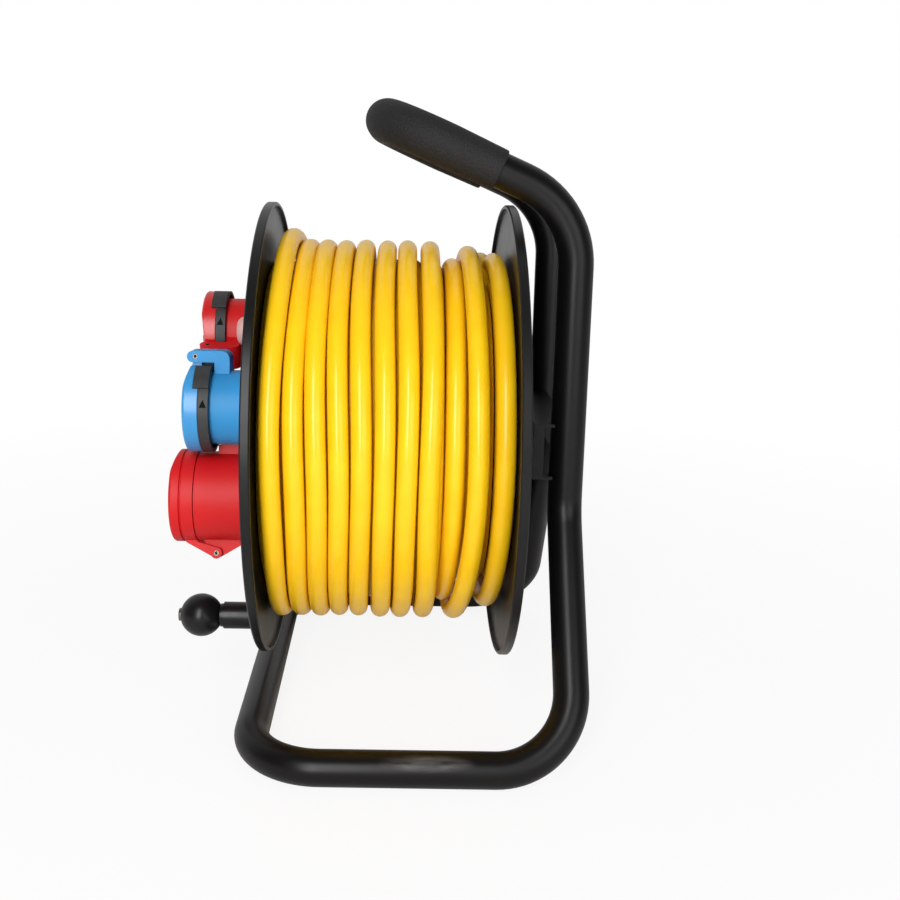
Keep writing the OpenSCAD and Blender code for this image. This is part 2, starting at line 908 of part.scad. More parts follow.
module seal(collar) {
  translate([0, 0, collar_h(collar) + gap])
    disc_ring(collar, mouth_r(collar) - 0.4, seal_t);
}

// Bayonet ring with two thumb blocks, which stand over the lid's edge, and a sunk arrow that points at each
module bayonet_ring(block_at) {
  low = ring_top - ring_h;
  difference() {
    union() {
      translate([0, 0, low])
        disc_ring(ring_out_r, ring_bore_r, ring_h);
      for (i = [0 : ring_blocks - 1])
        rotate([0, 0, block_at + i * 360 / ring_blocks - block_arc / 2])
          rotate_extrude(angle = block_arc) {
            translate([ring_out_r - 0.7, low])
              square([block_rise + 0.7, ring_h]);
            translate([ring_out_r + 0.15, low])
              square([block_rise - 0.15, ring_h + block_lap]);
          }
    }
    for (i = [0 : ring_blocks - 1])
      rotate([0, 0, block_at + i * 360 / ring_blocks - arrow_turn])
        translate([ring_out_r - 1.2, 0, low + 0.9])
          rotate([90, 0, 90])
            linear_extrude(3)
              polygon([[-2.4, 0], [2.4, 2.3], [-2.4, 4.6]]);
  }
}

// Hinge bracket of the plain socket, a gusset under its collar, and a ridge on the collar's other side
module plain_socket_housing(hinge) {
  difference() {
    union() {
      housing(plain_collar_r, hinge);
      translate([-plain_collar_r - ridge_rise, -ridge_w / 2, panel_t + gap])
        cube([ridge_rise + collar_wall, ridge_w, ridge_len]);
      hinge_plate(-barrel_half, 2 * barrel_half) {
        polygon([
          [plain_collar_r - 1.5, panel_t], [plain_collar_r - 1.5, plain_pin_z + gusset_rise],
          [plain_pin_x, plain_pin_z + barrel_r], [plain_pin_x + barrel_r, plain_pin_z],
          [plain_pin_x + barrel_r - 1, plain_pin_z - 3]
        ]);
        translate([plain_pin_x, plain_pin_z])
          circle(r = barrel_r);
      }
    }
    hinge_bar(plain_pin_x, plain_pin_z, pin_r + fit, -barrel_half - 1, 2 * barrel_half + 2);
    hinge_bar(plain_pin_x, plain_pin_z, pin_r + 1.2 + gap, -2.2, 4.4);
  }
}

module plain_socket_pin() {
  lid_pin(plain_pin_x, plain_pin_z);
}

module plain_socket_spring() {
  difference() {
    hinge_bar(plain_pin_x, plain_pin_z, pin_r + 1.2, -1.8, 3.6);
    hinge_bar(plain_pin_x, plain_pin_z, pin_r + fit, -3, 6);
  }
}

// Flat stepped lid with two arms that reach down to the pin, and a slanting facet opposite them
module plain_socket_lid() {
  base = plain_collar_h + gap;
  step = base + 8.3;
  crown = plain_collar_r + 1.2;
  difference() {
    union() {
      rotate_extrude()
        polygon([
          [0, base], [crown - 0.4, base], [crown - 0.4, step - 0.8], [crown - 1, step - 0.4],
          [crown - 1, step], [crown, step + 0.6], [crown, plain_lid_top - 1.6],
          [crown - 0.6, plain_lid_top - 0.6], [crown - 1.8, plain_lid_top], [0, plain_lid_top]
        ]);
      for (y = [-ear_out, ear_in])
        hinge_plate(y, ear_t) {
          polygon([
            [plain_collar_r + 0.7, base - 0.2], [plain_collar_r - 2, base + 0.5],
            [plain_collar_r - 2, step - 1], [plain_collar_r + 0.9, step - 1],
            [plain_pin_x + barrel_r, plain_pin_z], [plain_pin_x - barrel_r, plain_pin_z]
          ]);
          translate([plain_pin_x, plain_pin_z])
            circle(r = barrel_r);
        }
    }
    translate([-plain_facet_x, 0, plain_lid_top])
      rotate([0, -plain_facet, 0])
        translate([-2 * crown, -crown - 1, 0])
          cube([2 * crown, 2 * crown + 2, plain_lid_h]);
    translate([0, 0, base - 1])
      cylinder(h = plain_lid_h - 3, r = mouth_r(plain_collar_r) - 1);
    translate([0, 0, base - 1])
      disc_ring(plain_collar_r + fit, mouth_r(plain_collar_r) - 0.5, seal_t + 1);
    hinge_bar(plain_pin_x, plain_pin_z, pin_r + run, -ear_out - 1, 2 * ear_out + 2);
  }
}

module at_far_red() {
  on_front(socket_r, far_red_at, far_red_hinge) children();
}

module at_blue() {
  on_front(socket_r, blue_at, blue_hinge) children();
}

module at_near_red() {
  on_front(socket_r, near_red_at, near_red_hinge) children();
}

module far_red_housing() { color(socket_red) at_far_red() ring_socket_housing(far_red_hinge); }
module far_red_insert() { color(socket_red) at_far_red() insert(ring_collar_r, red_ways, far_circle); }
module far_red_contacts() { color(brass) at_far_red() contacts(ring_collar_r, red_ways, far_circle); }
module far_red_pin() { color(steel) at_far_red() ring_socket_pin(); }
module far_red_spring() { color(steel) at_far_red() ring_socket_spring(); }
module far_red_lid() { color(socket_red) at_far_red() ring_socket_lid(); }
module far_red_seal() { color(rubber) at_far_red() seal(ring_collar_r); }
module far_red_ring() { color(bayonet_grey) at_far_red() bayonet_ring(far_red_block); }

module blue_housing() { color(socket_blue) at_blue() ring_socket_housing(blue_hinge); }
module blue_insert() { color(socket_blue) at_blue() insert(ring_collar_r, blue_ways, blue_circle); }
module blue_contacts() { color(brass) at_blue() contacts(ring_collar_r, blue_ways, blue_circle); }
module blue_pin() { color(steel) at_blue() ring_socket_pin(); }
module blue_spring() { color(steel) at_blue() ring_socket_spring(); }
module blue_lid() { color(socket_blue) at_blue() ring_socket_lid(); }
module blue_seal() { color(rubber) at_blue() seal(ring_collar_r); }
module blue_ring() { color(bayonet_grey) at_blue() bayonet_ring(blue_block); }

module near_red_housing() { color(socket_red) at_near_red() plain_socket_housing(near_red_hinge); }
module near_red_insert() { color(socket_red) at_near_red() insert(plain_collar_r, red_ways, near_circle); }
module near_red_contacts() { color(brass) at_near_red() contacts(plain_collar_r, red_ways, near_circle); }
module near_red_pin() { color(steel) at_near_red() plain_socket_pin(); }
module near_red_spring() { color(steel) at_near_red() plain_socket_spring(); }
module near_red_lid() { color(socket_red) at_near_red() plain_socket_lid(); }
module near_red_seal() { color(rubber) at_near_red() seal(plain_collar_r); }

module socket_screws() {
  color(steel)
    for (s = [[far_red_at, ring_collar_r], [blue_at, ring_collar_r], [near_red_at, plain_collar_r]])
      on_front(socket_r, s[0])
        panel_corners(s[1]) {
          translate([0, 0, panel_t])
            cylinder(h = 2, r = socket_screw_head);
          translate([0, 0, 0.4 - flange_t])
            cylinder(h = flange_t + panel_t + 1, r = socket_screw_r);
        }
}

// Cut-out

module cutout_body() {
  color(moulded_black)
    on_front(reset_r, reset_at)
      difference() {
        union() {
          cylinder(h = bezel_h, r = reset_d / 2);
          translate([0, 0, -flange_t])
            cylinder(h = flange_t + 1, r = reset_stem_r + 1);
          translate([0, 0, -flange_t - cutout_len])
            cylinder(h = cutout_len, r = cutout_r);
        }
        translate([0, 0, -flange_t - 8])
          cylinder(h = flange_t + bezel_h + 9, r = reset_stem_r + run);
      }
}

// Stem and a cap with a well rounded edge
module reset_button() {
  head = bezel_h + reset_travel + gap;
  cap_r = reset_d / 2;
  color(cap_white)
    on_front(reset_r, reset_at) {
      translate([0, 0, -flange_t - 4])
        cylinder(h = flange_t + 4 + head + 1, r = reset_stem_r);
      translate([0, 0, head])
        rotate_extrude() {
          square([cap_r, reset_cap_h - cap_round]);
          square([cap_r - cap_round, reset_cap_h]);
          translate([cap_r - cap_round, reset_cap_h - cap_round])
            circle(r = cap_round);
        }
    }
}

// Crank

module crank_stem() {
  color(moulded_black)
    on_front(crank_r, crank_at)
      difference() {
        union() {
          cylinder(h = knob_gap_z - 2.2, d = stem_d);
          cylinder(h = knob_gap_z, d = stem_d - 2.4);
          cylinder(h = 2, d = stem_d + 4);
        }
        translate([0, 0, -1])
          cylinder(h = knob_h, r = knob_screw_r + fit);
      }
}

module crank_screw() {
  head_z = knob_h + knob_r - knob_flat - screw_head_sink;
  color(steel)
    on_front(crank_r, crank_at) {
      translate([0, 0, -1.6])
        cylinder(h = head_z + 2.6, r = knob_screw_r);
      translate([0, 0, head_z])
        cylinder(h = screw_head_h, r = knob_screw_r * 1.45);
    }
}

// Ball that turns on the screw, with a flat against the stem and a seat for the screw's head
module crank_knob() {
  color(moulded_black)
    on_front(crank_r, crank_at)
      difference() {
        translate([0, 0, knob_h])
          sphere(r = knob_r);
        translate([0, 0, knob_gap_z + gap - knob_d])
          cylinder(h = knob_d, r = knob_d);
        translate([0, 0, knob_h + knob_r - knob_flat])
          cylinder(h = knob_d, r = knob_d);
        translate([0, 0, knob_h + knob_r - knob_flat - screw_head_sink - gap])
          cylinder(h = knob_d, r = knob_screw_r * 1.45 + gap);
        cylinder(h = 2 * knob_h, r = knob_screw_r + run);
      }
}

// Free end of the cable and its plug

function tail_dir(i) = unit(tail_route[min(i + 1, len(tail_route) - 1)] - tail_route[max(i - 1, 0)]);
function tail_side(i) = unit(cross(tail_dir(i), [0, 1, 0]));
function tail_ring(i) = [
  for (k = [0 : tail_sides - 1])
    let (a = k * 360 / tail_sides)
      tail_route[i] + cable_d / 2 * (cos(a) * tail_side(i) + sin(a) * cross(tail_dir(i), tail_side(i)))
];

module cable_tail() {
  rings = len(tail_route);
  n = tail_sides;
  points = [for (i = [0 : rings - 1]) each tail_ring(i)];
  sides = [
    for (i = [0 : rings - 2], k = [0 : n - 1])
      [i * n + k, (i + 1) * n + k, (i + 1) * n + (k + 1) % n, i * n + (k + 1) % n]
  ];
  caps = [[for (k = [0 : n - 1]) k], [for (k = [n - 1 : -1 : 0]) (rings - 1) * n + k]];
  color(cable_yellow)
    polyhedron(points, concat(sides, caps));
}

// Local Z runs from the plug's nut to its pins, rising from the nut on the floor to the collar
module on_plug() {
  translate(plug_at)
    rotate([0, plug_tilt - 90, 0])
      children();
}

module plug_nut() {
  color(moulded_black)
    on_plug()
      difference() {
        cylinder(h = plug_nut_h, r = plug_nut_r);
        translate([0, 0, 8])
          cylinder(h = plug_nut_h, r = cable_d / 2 + fit);
      }
}

module plug_body() {
  color(socket_red)
    on_plug()
      difference() {
        rotate_extrude()
          polygon([
            [0, plug_nut_h], [plug_nut_r + 1, plug_nut_h], [plug_grip_r, plug_nut_h + 6],
            [plug_grip_r + 2, plug_ring_z - 16], [plug_shoulder_r, plug_ring_z - 6],
            [plug_shoulder_r, plug_ring_z + plug_ring_h], [plug_shroud_r, plug_ring_z + plug_ring_h],
            [plug_shroud_r, plug_ring_z + plug_ring_h + plug_shroud_h],
            [0, plug_ring_z + plug_ring_h + plug_shroud_h]
          ]);
        translate([0, 0, plug_ring_z + plug_ring_h - 4])
          cylinder(h = plug_shroud_h + 5, r = plug_shroud_r - plug_wall);
        contact_places(red_ways, near_circle)
          translate([0, 0, plug_ring_z])
            cylinder(h = plug_ring_h, d = contact_bore - 0.2 + 2 * fit);
      }
}

module plug_collar() {
  color(bayonet_grey)
    on_plug()
      translate([0, 0, plug_ring_z])
        disc_ring(plug_ring_r, plug_shoulder_r + fit, plug_ring_h);
}

module plug_pins() {
  color(brass)
    on_plug()
      contact_places(red_ways, near_circle)
        translate([0, 0, plug_ring_z])
          cylinder(h = plug_ring_h + plug_shroud_h - 8, d = contact_bore - 0.2);
}

frame_tube();
handle_grip();
axle_bracket();
axle();
axle_washer();
axle_nut();
drum_front();
drum_rear();
hub_bushes();
drum_screws();
cable_gland();
terminal_block();
cable_lead();
cable_winding();
far_red_housing();
far_red_insert();
far_red_contacts();
far_red_pin();
far_red_spring();
far_red_lid();
far_red_seal();
far_red_ring();
blue_housing();
blue_insert();
blue_contacts();
blue_pin();
blue_spring();
blue_lid();
blue_seal();
blue_ring();
near_red_housing();
near_red_insert();
near_red_contacts();
near_red_pin();
near_red_spring();
near_red_lid();
near_red_seal();
socket_screws();
cutout_body();
reset_button();
crank_stem();
crank_screw();
crank_knob();
cable_tail();
plug_nut();
plug_body();
plug_collar();
plug_pins();
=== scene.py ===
import math

import bpy
import numpy as np
from mathutils import Matrix, Vector


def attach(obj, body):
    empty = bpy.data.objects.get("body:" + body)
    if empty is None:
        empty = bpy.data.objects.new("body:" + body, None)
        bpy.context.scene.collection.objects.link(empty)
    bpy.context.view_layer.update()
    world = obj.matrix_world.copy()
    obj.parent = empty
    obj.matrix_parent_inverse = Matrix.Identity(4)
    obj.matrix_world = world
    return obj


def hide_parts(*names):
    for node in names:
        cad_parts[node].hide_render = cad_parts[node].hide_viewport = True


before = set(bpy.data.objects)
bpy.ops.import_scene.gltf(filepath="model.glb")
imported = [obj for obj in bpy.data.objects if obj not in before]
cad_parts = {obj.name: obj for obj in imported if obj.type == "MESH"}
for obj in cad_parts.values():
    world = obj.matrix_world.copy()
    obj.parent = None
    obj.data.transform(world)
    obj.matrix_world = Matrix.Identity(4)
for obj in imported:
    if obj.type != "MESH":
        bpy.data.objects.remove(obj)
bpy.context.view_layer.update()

# Stand: one length of steel tube, 22 mm across, bent into a closed loop with the joint under the grip, then
# powder coated black. The coat has worn pale along the near skid where the reel is set down.
MM = 0.001
TUBE_D = 22.0
TUBE_SIDES = 48
BEND_STEP, LEAST_RINGS = 4.0, 6
HANDLE_BEND = 38.0
HANDLE_X, HANDLE_Z, UPRIGHT_X, UPRIGHT_Y = 3.5, 391.0, 121.5, 58.0
SHOULDER_Z, KINK_Z, SKID_Y, FRONT_X = 340.0, 147.0, 144.5, -76.5
half_loop = np.array([
    [HANDLE_X, UPRIGHT_Y, HANDLE_Z],
    [UPRIGHT_X, UPRIGHT_Y, SHOULDER_Z],
    [UPRIGHT_X, UPRIGHT_Y, KINK_Z],
    [UPRIGHT_X, SKID_Y, TUBE_D / 2],
    [FRONT_X, SKID_Y, TUBE_D / 2],
])
half_bends = [HANDLE_BEND, 56.0, 40.0, 47.0, 46.0]
near_half, far_half = half_loop * [1, -1, 1], half_loop[::-1]
joint_end = np.array([[HANDLE_X, 0, HANDLE_Z]])
stand_corners = np.concatenate([joint_end, near_half, far_half, joint_end])


def linear(code):
    """An sRGB hex colour as linear red, green, blue and alpha."""
    srgb = np.array([int(code[i : i + 2], 16) for i in (1, 3, 5)]) / 255
    low, high = srgb / 12.92, ((srgb + 0.055) / 1.055) ** 2.4
    return (*np.where(srgb <= 0.04045, low, high), 1.0)


def node(tree, kind, links=None, **settings):
    """Add a shader node: settings are its properties, links its inputs' values or source sockets."""
    made = tree.nodes.new(kind)
    for key, value in settings.items():
        setattr(made, key, value)
    for key, value in (links or {}).items():
        if isinstance(value, bpy.types.NodeSocket):
            tree.links.new(value, made.inputs[key])
        else:
            made.inputs[key].default_value = value
    return made


def material(name):
    """A new material, its node tree, its shader and its Object coordinates in metres."""
    made = bpy.data.materials.new(name)
    made.use_nodes = True
    tree = made.node_tree
    shader = tree.nodes["Principled BSDF"]
    place = node(tree, "ShaderNodeTexCoord").outputs["Object"]
    return made, tree, shader, place


def drift(tree, shader, place, dark, light, scale, detail, distortion=0.0):
    """Base colour that wanders between two tones, with a noise in space as the share of the light one. The
    scale is one over the size in metres. Returns the share, for a gloss that follows it."""
    wander = {"Vector": place, "Scale": scale, "Detail": detail, "Distortion": distortion}
    share = node(tree, "ShaderNodeTexNoise", wander).outputs["Fac"]
    tones = {"Factor": share, "A": linear(dark), "B": linear(light)}
    shade = node(tree, "ShaderNodeMix", tones, data_type="RGBA")
    tree.links.new(shade.outputs["Result"], shader.inputs["Base Color"])
    return share


def skin(name, grid, surface, ring=True, capped=True, sharp=40.0):
    """A mesh over a grid of points, or over several alike: rows along the path, columns round the section.
    ring joins the last column to the first, capped closes the first and last rows, and edges sharper than
    the angle stay. The faces are turned round where the volume inside them comes out negative."""
    grid = grid.reshape(-1, *grid.shape[-3:])
    index = np.arange(grid.size // 3).reshape(grid.shape[:3])
    ahead = np.roll(index, -1, axis=2) if ring else index[:, :, 1:]
    here = index if ring else index[:, :, :-1]
    faces = np.stack([here[:, :-1], ahead[:, :-1], ahead[:, 1:], here[:, 1:]], axis=-1).reshape(-1, 4)
    points = grid.reshape(-1, 3) * MM
    a, b, c, d = (points[faces[:, k]] for k in range(4))
    volume = np.einsum("ij,ij->", a, np.cross(b, c)) + np.einsum("ij,ij->", a, np.cross(c, d))
    order = 1 if volume >= 0 else -1
    polygons = faces[:, ::order].tolist()
    if capped:
        polygons += index[:, 0, ::-order].tolist() + index[:, -1, ::order].tolist()
    mesh = bpy.data.meshes.new(name)
    mesh.from_pydata(points.tolist(), [], polygons)
    mesh.polygons.foreach_set("use_smooth", np.ones(len(polygons), dtype=bool))
    mesh.set_sharp_from_angle(angle=math.radians(sharp))
    mesh.materials.append(surface)
    made = bpy.data.objects.new(name, mesh)
    bpy.context.scene.collection.objects.link(made)
    return made


def tube(path, across, up, radius, sides):
    """Grid of a round tube: each ring is radius times cosine along across plus sine along up."""
    turn = np.linspace(0, 2 * np.pi, sides, endpoint=False)
    radius = np.broadcast_to(radius, len(path))[:, None, None]
    ring = np.cos(turn)[None, :, None] * across[:, None] + np.sin(turn)[None, :, None] * up[:, None]
    return path[:, None] + radius * ring


def unit(v):
    """Each vector divided by its own length."""
    return v / np.linalg.norm(v, axis=-1, keepdims=True)


def bent_run(corners, bends, side):
    """Straights joined by round bends: a bend starts its radius times the tangent of half its angle before
    the corner, and its points and the section's side vector turn about the axis square to both straights."""
    points, sides = [corners[:1]], [side[None]]
    for before_it, corner, after_it, radius in zip(corners, corners[1:], corners[2:], bends):
        into, out = unit(corner - before_it), unit(after_it - corner)
        bend = math.acos(float(into @ out))
        axis = unit(np.cross(into, out))
        arm = -radius * np.cross(axis, into)
        start = corner - into * radius * math.tan(bend / 2)
        rings = max(LEAST_RINGS, int(math.degrees(bend) / BEND_STEP))
        turn = np.linspace(0, bend, rings)[:, None]
        points.append(start - arm + arm * np.cos(turn) + np.cross(axis, arm) * np.sin(turn))
        turned = side * np.cos(turn) + np.cross(axis, side) * np.sin(turn)
        sides.append(turned + axis * (axis @ side) * (1 - np.cos(turn)))
        side = sides[-1][-1]
    points, sides = points + [corners[-1:]], sides + [side[None]]
    return np.concatenate(points), np.concatenate(sides)


# Powder coat on steel: satin black with the orange peel of a melted powder, about 1.3 mm from dimple to
# dimple, a gloss that varies over a hand's width, and grey rubbing marks some 16 mm long on the near skid
worn_spot, worn_half = (0.033, -0.1523, 0.0188), (0.03, 0.008, 0.005)
coat, tree, shader, place = material("black_powder_coat")
peel = node(tree, "ShaderNodeTexNoise", {"Vector": place, "Scale": 760.0, "Detail": 1.0})
peel_bump = node(tree, "ShaderNodeBump", {"Height": peel.outputs["Fac"], "Strength": 0.1, "Distance": 0.0002})
tree.links.new(peel_bump.outputs["Normal"], shader.inputs["Normal"])
patch = node(tree, "ShaderNodeTexNoise", {"Vector": place, "Scale": 14.0, "Detail": 3.0})
gloss = node(tree, "ShaderNodeMapRange", {"Value": patch.outputs["Fac"], "To Min": 0.31, "To Max": 0.41})
tree.links.new(gloss.outputs["Result"], shader.inputs["Roughness"])
worn_at = node(
    tree,
    "ShaderNodeMapping",
    {"Vector": place, "Location": worn_spot, "Scale": worn_half},
    vector_type="TEXTURE",
)
worn_far = node(tree, "ShaderNodeVectorMath", {0: worn_at.outputs["Vector"]}, operation="LENGTH")
worn_zone = node(
    tree,
    "ShaderNodeMapRange",
    {"Value": worn_far.outputs["Value"], "From Min": 0.5, "From Max": 1.0, "To Min": 1.0, "To Max": 0.0},
)
rub_place = node(tree, "ShaderNodeMapping", {"Vector": place, "Scale": (60.0, 260.0, 360.0)})
rub = node(tree, "ShaderNodeTexNoise", {"Vector": rub_place.outputs["Vector"], "Scale": 1.0, "Detail": 4.0})
rub_mark = node(
    tree,
    "ShaderNodeMapRange",
    {"Value": rub.outputs["Fac"], "From Min": 0.28, "From Max": 0.75, "To Max": 0.55},
)
worn = node(
    tree,
    "ShaderNodeMath",
    {0: worn_zone.outputs["Result"], 1: rub_mark.outputs["Result"]},
    operation="MULTIPLY",
)
coat_colour = node(
    tree,
    "ShaderNodeMix",
    {"Factor": worn.outputs["Value"], "A": linear("#0A0909"), "B": linear("#6E6B68")},
    data_type="RGBA",
)
tree.links.new(coat_colour.outputs["Result"], shader.inputs["Base Color"])
shader.inputs["Specular IOR Level"].default_value = 0.26
stand_path, stand_side = bent_run(stand_corners, half_bends + half_bends[::-1], np.array([1.0, 0.0, 0.0]))
stand_along = unit(np.gradient(stand_path, axis=0))
stand_up = unit(np.cross(stand_along, stand_side))
stand_across = np.cross(stand_up, stand_along)
stand = skin("stand_tube", tube(stand_path, stand_across, stand_up, TUBE_D / 2, TUBE_SIDES), coat)
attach(stand, "stand")
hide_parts("frame_tube")

# Grip: a sleeve of soft vinyl slipped over the handle's cross bar and both its corners, 27 mm across. It
# narrows along the arms and is cut square at its two ends, with a small round on the edge.
GRIP_ARM, GRIP_D, GRIP_BORE_R = 76.0, 27.0, 10.9
lip_from_end = [0.0, 0.15, 0.5, 1.0, 1.6, 34.0]
lip_r = [11.9, 12.25, 12.5, 12.66, 12.74, GRIP_D / 2]
arm_along = unit(half_loop[1] - half_loop[0])
far_end = half_loop[0] + GRIP_ARM * arm_along
grip_corners = np.stack([far_end, half_loop[0], near_half[0], far_end * [1, -1, 1]])
grip_path, grip_side = bent_run(grip_corners, [HANDLE_BEND] * 2, unit(np.cross(arm_along, [0.0, 1.0, 0.0])))
grip_run = np.concatenate([[0], np.cumsum(np.linalg.norm(np.diff(grip_path, axis=0), axis=1))])
grip_long = grip_run[-1]
near_end = np.array(lip_from_end[1:-1] + [6, 12, 18, 24, 30, 34])
grip_at = np.unique(np.concatenate([near_end, grip_run[1:-1], grip_long - near_end]))
grip_at = np.concatenate([[0, 0], grip_at, [grip_long, grip_long]])
grip_r = np.interp(np.minimum(grip_at, grip_long - grip_at), lip_from_end, lip_r)
grip_r[[0, -1]] = GRIP_BORE_R
grip_points = np.stack([np.interp(grip_at, grip_run, grip_path[:, k]) for k in range(3)], axis=1)
grip_sides = unit(np.stack([np.interp(grip_at, grip_run, grip_side[:, k]) for k in range(3)], axis=1))
grip_tangent = np.gradient(grip_path, grip_run, axis=0)
grip_along = unit(np.stack([np.interp(grip_at, grip_run, grip_tangent[:, k]) for k in range(3)], axis=1))
grip_up = unit(np.cross(grip_along, grip_sides))
# Soft vinyl: matt black with the fine leather grain of its mould, cells of about 1.2 mm, greyer where worn
vinyl, tree, shader, place = material("grained_soft_vinyl")
cells = node(tree, "ShaderNodeTexVoronoi", {"Vector": place, "Scale": 830.0}, feature="F1")
cell_bump = node(
    tree,
    "ShaderNodeBump",
    {"Height": cells.outputs["Distance"], "Strength": 0.9, "Distance": 0.0004},
)
tree.links.new(cell_bump.outputs["Normal"], shader.inputs["Normal"])
drift(tree, shader, place, "#121111", "#1D1B1B", scale=28.0, detail=4.0)
shader.inputs["Roughness"].default_value = 0.68
shader.inputs["Specular IOR Level"].default_value = 0.35
grip = skin("handle_sleeve", tube(grip_points, grip_sides, grip_up, grip_r, TUBE_SIDES), vinyl, sharp=60)
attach(grip, "stand")
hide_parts("handle_grip")

# Axle and its bracket: a folded sheet welded between the uprights and powder coated with them, a turned
# and zinc-plated axle in it, and the washer and nut that hold the drum on.


def dress(surface, *names):
    """Give CAD nodes their finish: the surface goes into every material slot that they have."""
    for name in names:
        for finish_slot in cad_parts[name].material_slots:
            finish_slot.material = surface


# Zinc plate on steel: a cool bright metal, passivated, so its gloss is cloudy over a few millimetres, with
# turning marks drawn at 0.5 mm
zinc, tree, shader, place = material("zinc_plated_steel")
cloud = drift(tree, shader, place, "#A9ABB0", "#CFD0D2", scale=350.0, detail=4.0)
zinc_gloss = node(tree, "ShaderNodeMapRange", {"Value": cloud, "To Min": 0.24, "To Max": 0.42})
tree.links.new(zinc_gloss.outputs["Result"], shader.inputs["Roughness"])
marks = node(tree, "ShaderNodeTexNoise", {"Vector": place, "Scale": 2000.0, "Detail": 1.0})
mark_bump = node(
    tree,
    "ShaderNodeBump",
    {"Height": marks.outputs["Fac"], "Strength": 0.1, "Distance": 0.0001},
)
tree.links.new(mark_bump.outputs["Normal"], shader.inputs["Normal"])
shader.inputs["Metallic"].default_value = 1.0
dress(coat, "axle_bracket")
dress(zinc, "axle", "axle_washer", "axle_nut")

# Drum: two mouldings of black polypropylene, screwed together, which turn on two nylon bushes. The front one
# carries the core, with the cable's gland in its wall and the terminal block inside.


def softened(tree, height, strength, depth, edge):
    """Normal of a moulded face: edges rounded over a radius in metres, then the grain's height added."""
    rounded = node(tree, "ShaderNodeBevel", {"Radius": edge}, samples=4)
    grain = node(
        tree,
        "ShaderNodeBump",
        {"Height": height, "Strength": strength, "Distance": depth, "Normal": rounded.outputs["Normal"]},
    )
    return grain.outputs["Normal"]


# Polypropylene, injection moulded: satin black with a soft wide sheen, flow marks some 40 mm across in its
# gloss and a fine eroded grain, drawn at 0.9 mm
drum_black, tree, shader, place = material("black_moulded_polypropylene")
flow = drift(tree, shader, place, "#101011", "#171717", scale=24.0, detail=3.0, distortion=0.6)
drum_gloss = node(tree, "ShaderNodeMapRange", {"Value": flow, "To Min": 0.28, "To Max": 0.4})
tree.links.new(drum_gloss.outputs["Result"], shader.inputs["Roughness"])
eroded = node(tree, "ShaderNodeTexNoise", {"Vector": place, "Scale": 1100.0, "Detail": 2.0})
drum_face = softened(tree, eroded.outputs["Fac"], strength=0.06, depth=0.0002, edge=0.0005)
tree.links.new(drum_face, shader.inputs["Normal"])
shader.inputs["IOR"].default_value = 1.49
shader.inputs["Specular IOR Level"].default_value = 0.25

# Natural nylon: cream and waxy, light passing a little way in, with a drift in tone over 10 mm
nylon, tree, shader, place = material("natural_nylon")
drift(tree, shader, place, "#DAD6C6", "#E9E6DA", scale=100.0, detail=3.0)
shader.inputs["Roughness"].default_value = 0.4
shader.inputs["Subsurface Weight"].default_value = 0.15
shader.inputs["Subsurface Scale"].default_value = 0.002
dress(drum_black, "drum_front", "drum_rear", "cable_gland")
dress(nylon, "hub_bushes", "terminal_block")


def cross_screws(spots, foot, outward, head, shank):
    """Grids of screws along the axle, each head and shank given by radius and height. From the shank's end
    over the head's rounded edge a row is a ring. Then the rows follow a sunk cross, whose radius is the arm's
    length over the cosine of the angle off the arm, or half the slot's width over the sine."""
    (head_r, head_h), (shank_r, shank_h) = head, shank
    arm, half_slot, depth = 0.62 * head_r, 0.16 * head_r, 0.55 * head_h
    rounding, shoulder = 0.5, 0.15
    driven_apart = 0.9
    corner = math.atan2(half_slot, arm)
    one_arm = np.array([-np.pi / 4, -np.pi / 6, -corner, 0, corner, np.pi / 6])
    off_arm = np.tile(np.abs(one_arm), 4)
    turn = (one_arm + np.arange(4)[:, None] * np.pi / 2).ravel()
    slot_r = half_slot / np.sin(np.maximum(off_arm, corner))
    cross = np.where(off_arm <= corner, arm / np.cos(off_arm), slot_r)
    round_r = np.array([shank_r, shank_r, head_r, head_r, head_r - shoulder, head_r - rounding])
    round_h = np.array([-shank_h, 0, 0, head_h - rounding, head_h - shoulder, head_h])
    cross_share = np.array([1.0, 0.8, 0.05])
    radius = np.concatenate([np.repeat(round_r[:, None], len(turn), 1), cross_share[:, None] * cross])
    height = np.concatenate([round_h, [head_h, head_h - depth, head_h - depth]])[:, None]
    driven_to = turn + driven_apart * np.arange(len(spots))[:, None, None]
    across = spots[:, :1, None] + radius * np.cos(driven_to)
    upward = spots[:, 1:, None] + radius * np.sin(driven_to)
    return np.stack([np.broadcast_to(foot + outward * height, across.shape), across, upward], axis=-1)


# Six pan-head screws hold the two mouldings together, driven from behind
AXLE_X, AXLE_Z = 6.5, 187.0
REAR_FACE_X, BOSS_R = 88.0, 80.5
boss_at = np.radians(np.arange(30, 390, 60))
boss_spots = BOSS_R * np.stack([np.cos(boss_at), np.sin(boss_at)], axis=1) + [0, AXLE_Z]
boss_grid = cross_screws(boss_spots, REAR_FACE_X, 1, head=(4.0, 2.4), shank=(2.0, 21.6))
drum_screws = skin("rear_flange_screws", boss_grid, zinc)
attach(drum_screws, "drum")
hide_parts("drum_screws")

# Sockets: three industrial sockets of moulded polyamide, each screwed into the front flange by the corners
# of its panel. The lids are sprung on steel rivets; two of them are drawn shut by a bayonet ring.


